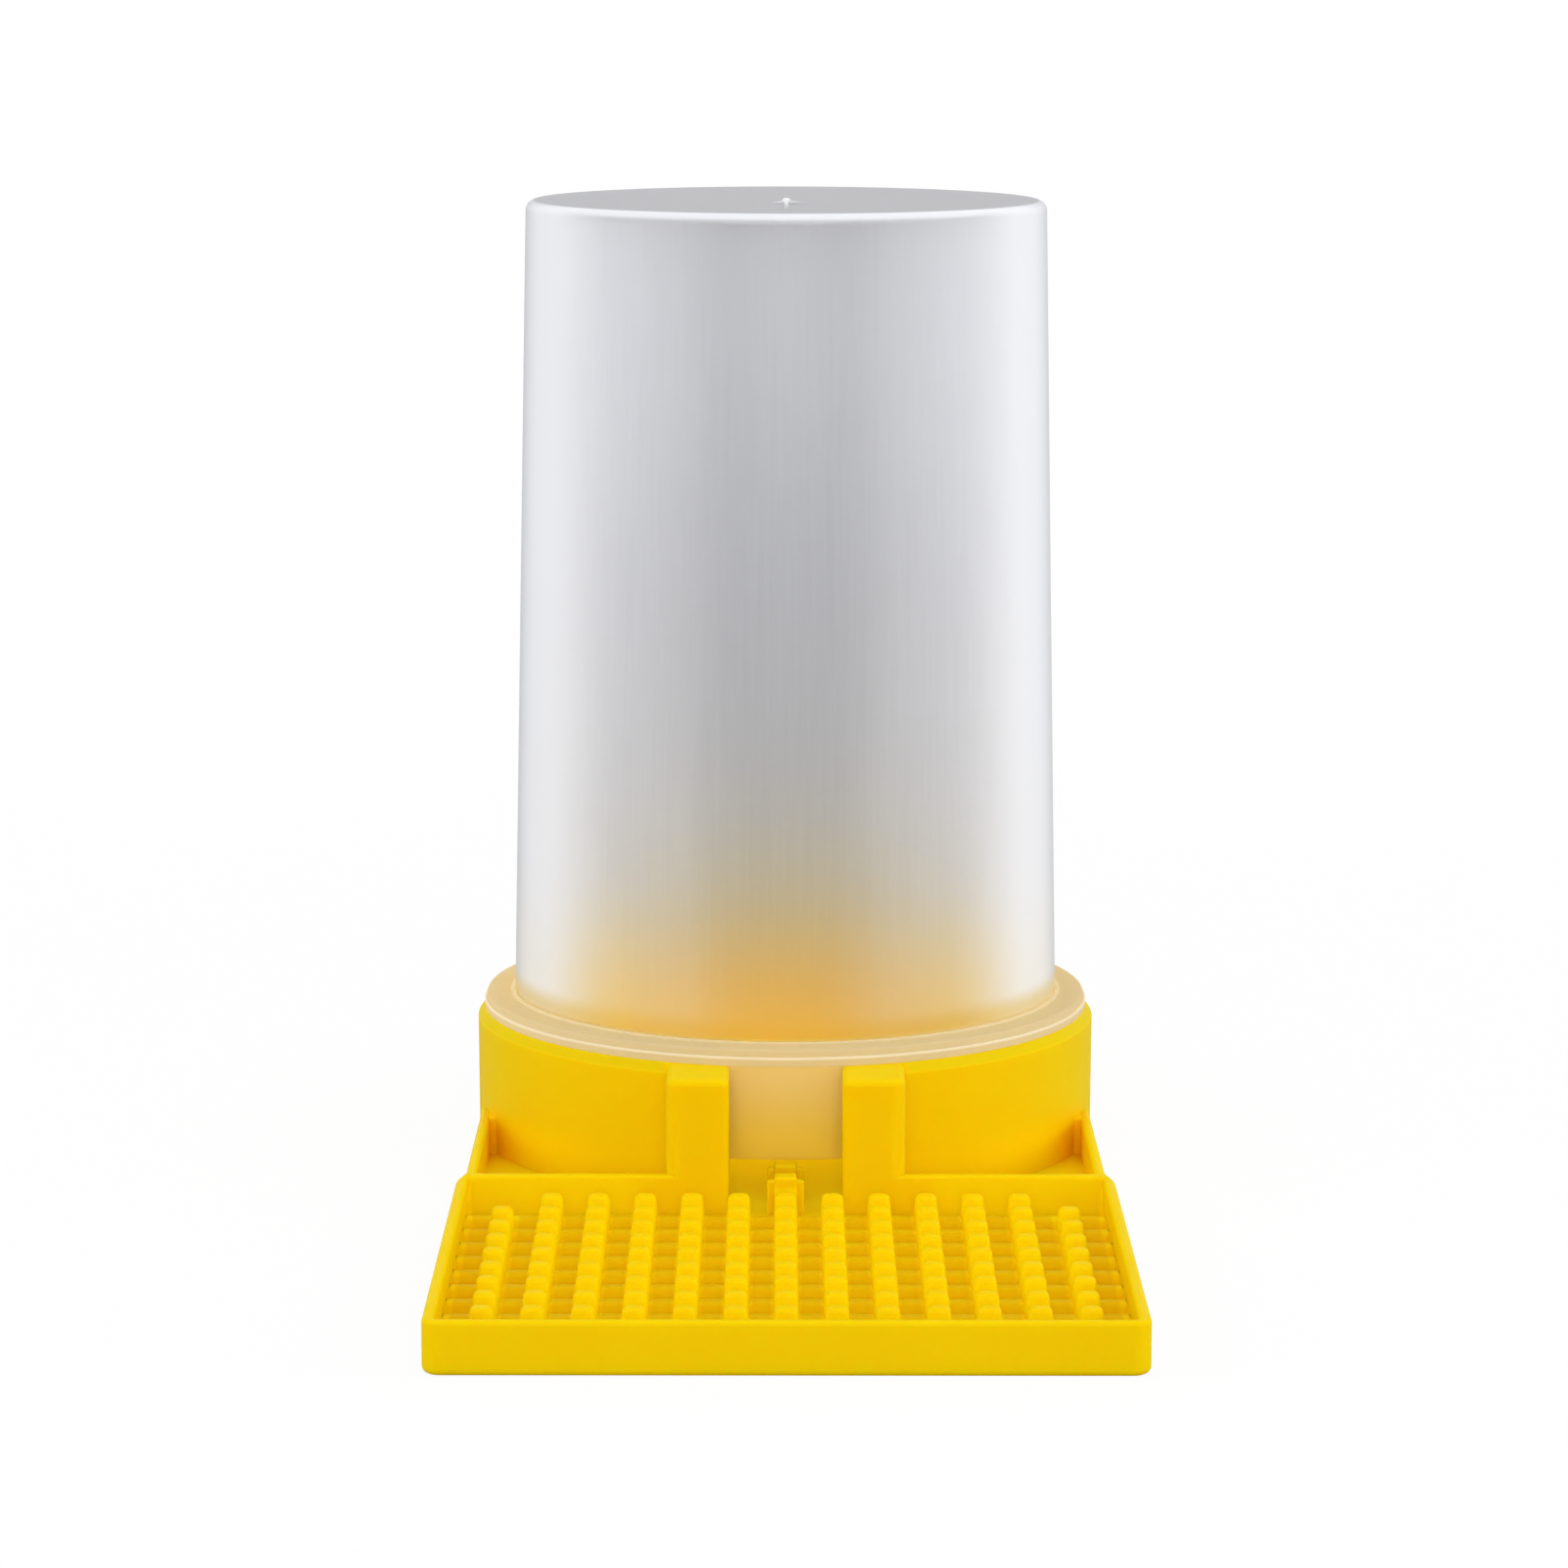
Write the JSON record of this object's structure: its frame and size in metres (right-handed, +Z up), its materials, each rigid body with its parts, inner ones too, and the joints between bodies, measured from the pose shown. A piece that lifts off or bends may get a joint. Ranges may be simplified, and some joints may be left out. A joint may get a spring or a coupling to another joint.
{
  "type": "hive entrance feeder",
  "caption": "Hive entrance feeder: an inverted frosted cup in a flanged cap, standing in the ring of a yellow base with a shallow tray of drinking pegs.",
  "frame": {"origin": "where the cup's vertical axis meets the flat underside of the base", "axes": "+Z up along the cup's axis, -Y from the cup towards the front of the landing tray, +X to the right seen from the tray"},
  "size_m": [0.1152, 0.2186, 0.1769],
  "materials": {
    "base_plastic": "opaque yellow, low gloss, as moulded",
    "cap_plastic": "natural milky translucent, smooth",
    "cup_plastic": "frosted translucent, satin"
  },
  "bodies": {
    "base": {"feeder_base": "base_plastic"},
    "cap": {"feed_cap": "cap_plastic"},
    "cup": {"syrup_cup": "cup_plastic"}
  },
  "joints": [
    {"name": "cap_lift", "type": "slide", "parent": "base", "child": "cap", "axis": [0, 0, 1], "range_m": [0, 0.05]},
    {"name": "cup_pull", "type": "slide", "parent": "cap", "child": "cup", "axis": [0, 0, 1], "range_m": [0, 0.05]}
  ]
}
